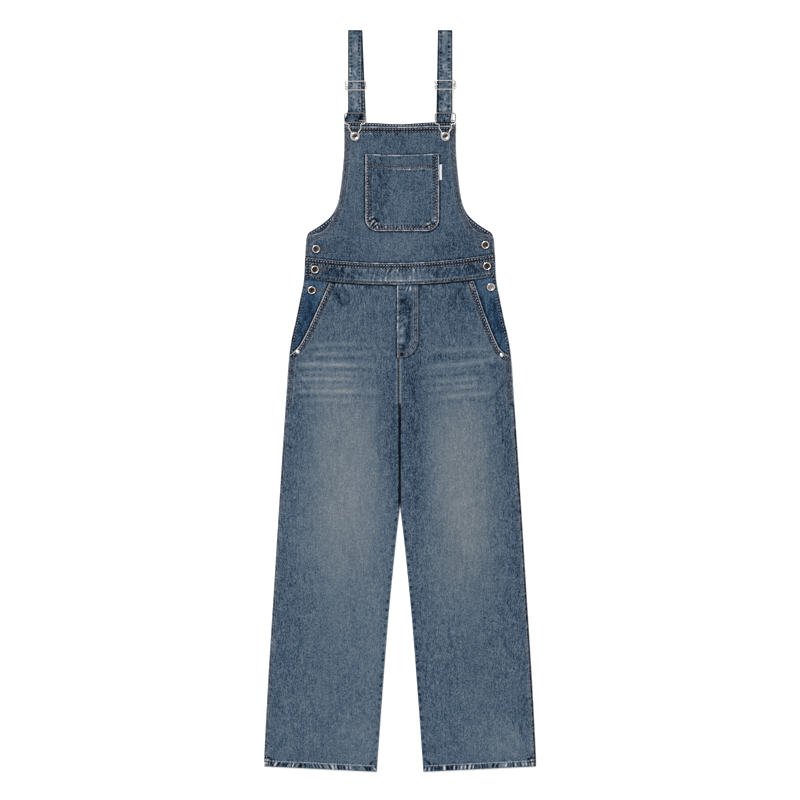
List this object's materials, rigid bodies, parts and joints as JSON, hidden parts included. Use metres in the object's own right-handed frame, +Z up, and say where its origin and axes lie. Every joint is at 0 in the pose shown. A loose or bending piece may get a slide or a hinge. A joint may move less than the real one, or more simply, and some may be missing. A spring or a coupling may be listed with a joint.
{
  "type": "denim dungarees",
  "caption": "Full-length denim dungarees laid flat: bib with pocket, straps with wire buckles and sliders, side buttons, slanted pockets, fly and straight wide legs.",
  "frame": {"origin": "on the surface the garment lies on, below the middle of its outline", "axes": "+X to the right as seen from above, +Y from the hems towards the straps, +Z up out of the front of the garment"},
  "size_m": [0.571, 1.5579, 0.0107],
  "materials": {
    "denim": "washed mid-blue twill with faded thighs, pale wear on seams and grey-tan topstitching",
    "denim_facing": "less washed, deeper blue twill",
    "white_tape": "plain white woven tape, left bare",
    "nickel_wire": "polished nickel plated wire",
    "button_metal": "silver rim with a sunk, aged copper middle"
  },
  "bodies": {
    "root": {"back_bib": "denim", "back_waistband": "denim", "back_leg_left": "denim", "back_leg_right": "denim", "front_bib": "denim", "front_waistband": "denim", "front_leg_left": "denim", "front_leg_right": "denim", "bib_pocket": "denim", "fly": "denim", "strap_left": "denim", "strap_right": "denim", "pocket_facing_left": "denim_facing", "pocket_facing_right": "denim_facing", "pocket_tab": "white_tape", "slider_left": "nickel_wire", "slider_right": "nickel_wire", "buckle_left": "nickel_wire", "buckle_right": "nickel_wire", "bib_button_left": "button_metal", "bib_button_right": "button_metal", "side_button_left_1": "button_metal", "side_button_left_2": "button_metal", "side_button_left_3": "button_metal", "side_button_right_1": "button_metal", "side_button_right_2": "button_metal", "side_button_right_3": "button_metal", "rivet_left": "button_metal", "rivet_right": "button_metal"}
  },
  "joints": []
}
